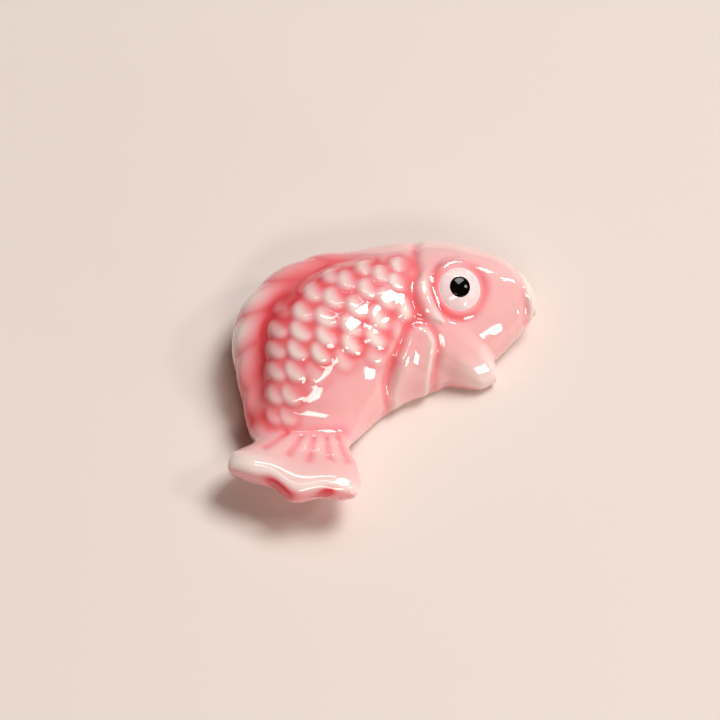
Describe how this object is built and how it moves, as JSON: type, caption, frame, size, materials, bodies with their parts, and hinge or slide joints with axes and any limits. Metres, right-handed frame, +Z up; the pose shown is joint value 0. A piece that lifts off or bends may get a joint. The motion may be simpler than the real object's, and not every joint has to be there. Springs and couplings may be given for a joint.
{
  "type": "chopstick rest",
  "caption": "Glazed porcelain chopstick rest shaped as a koi lying on its side; chopsticks lie in the saddle between the body and the raised tail.",
  "frame": {"origin": "middle of the bounding box at the height of the table", "axes": "+X from the fish's back to its snout, +Y from the tail to the top of the head, +Z up from the table"},
  "size_m": [0.0572, 0.0544, 0.0187],
  "materials": {
    "unglazed_porcelain": "matte unglazed biscuit",
    "pink_glaze": "gloss, pale on the crests and coral in the hollows",
    "white_enamel": "gloss",
    "black_enamel": "gloss"
  },
  "bodies": {
    "root": {"porcelain_body": "unglazed_porcelain", "pink_glaze": "pink_glaze", "eye_white": "white_enamel", "pupil": "black_enamel"}
  },
  "joints": []
}
